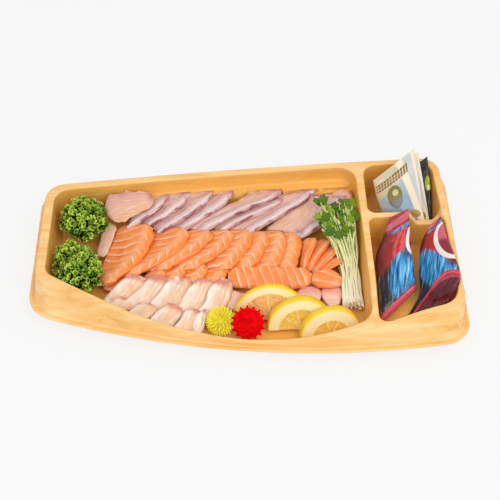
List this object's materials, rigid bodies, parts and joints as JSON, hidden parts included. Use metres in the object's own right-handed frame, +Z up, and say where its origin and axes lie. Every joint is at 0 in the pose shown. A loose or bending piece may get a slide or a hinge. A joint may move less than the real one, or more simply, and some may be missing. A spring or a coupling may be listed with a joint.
{
  "type": "sashimi plate",
  "caption": "Boat-shaped tray with three wells, holding overlapping rows of raw fish slices, parsley, radish sprouts, lemon, flower garnishes, condiment packets and sauce pouches.",
  "frame": {"origin": "on the table under the middle of the tray: the centre of the bounding box in X and Y, at its lowest point", "axes": "+X runs along the tray towards the packets and pouches, +Y points from the bowed front to the straight back, +Z points up"},
  "size_m": [0.362, 0.2039, 0.0493],
  "materials": {
    "tray": "satin",
    "salmon": "moist",
    "mullet": "moist",
    "flounder": "moist",
    "belly": "moist",
    "lemon": "moist",
    "red_flower": "satin",
    "yellow_flower": "satin",
    "parsley": "matte",
    "sprouts": "satin",
    "packet": "satin",
    "dark_packet": "gloss",
    "pouch": "gloss"
  },
  "bodies": {
    "root": {"boat_tray": "tray", "salmon_back_1": "salmon", "salmon_back_2": "salmon", "salmon_back_3": "salmon", "salmon_back_4": "salmon", "salmon_back_5": "salmon", "salmon_back_6": "salmon", "salmon_back_7": "salmon", "salmon_back_8": "salmon", "salmon_front_1": "salmon", "salmon_front_2": "salmon", "salmon_front_3": "salmon", "salmon_front_4": "salmon", "salmon_tongue_1": "salmon", "salmon_long": "salmon", "salmon_end": "salmon", "salmon_fan_1": "salmon", "salmon_fan_2": "salmon", "salmon_fan_3": "salmon", "salmon_fan_4": "salmon", "mullet_1": "mullet", "mullet_2": "mullet", "mullet_3": "mullet", "mullet_4": "mullet", "mullet_5": "mullet", "mullet_6": "mullet", "mullet_7": "mullet", "mullet_8": "mullet", "mullet_flat_left": "mullet", "mullet_edge_left": "mullet", "mullet_flat_right": "mullet", "flounder_back_1": "flounder", "flounder_back_2": "flounder", "flounder_back_3": "flounder", "flounder_back_4": "flounder", "flounder_back_5": "flounder", "flounder_front_1": "flounder", "flounder_front_2": "flounder", "flounder_front_3": "flounder", "flounder_front_4": "flounder", "flounder_front_5": "flounder", "belly_by_lemon_1": "belly", "belly_by_lemon_2": "belly", "belly_by_lemon_3": "belly", "lemon_back": "lemon", "lemon_middle": "lemon", "lemon_right": "lemon", "flower_red": "red_flower", "flower_yellow": "yellow_flower", "parsley_upper": "parsley", "parsley_lower": "parsley", "sprouts": "sprouts", "packet_front": "packet", "packet_behind": "packet", "packet_dark": "dark_packet", "pouch_left": "pouch", "pouch_right": "pouch"}
  },
  "joints": []
}
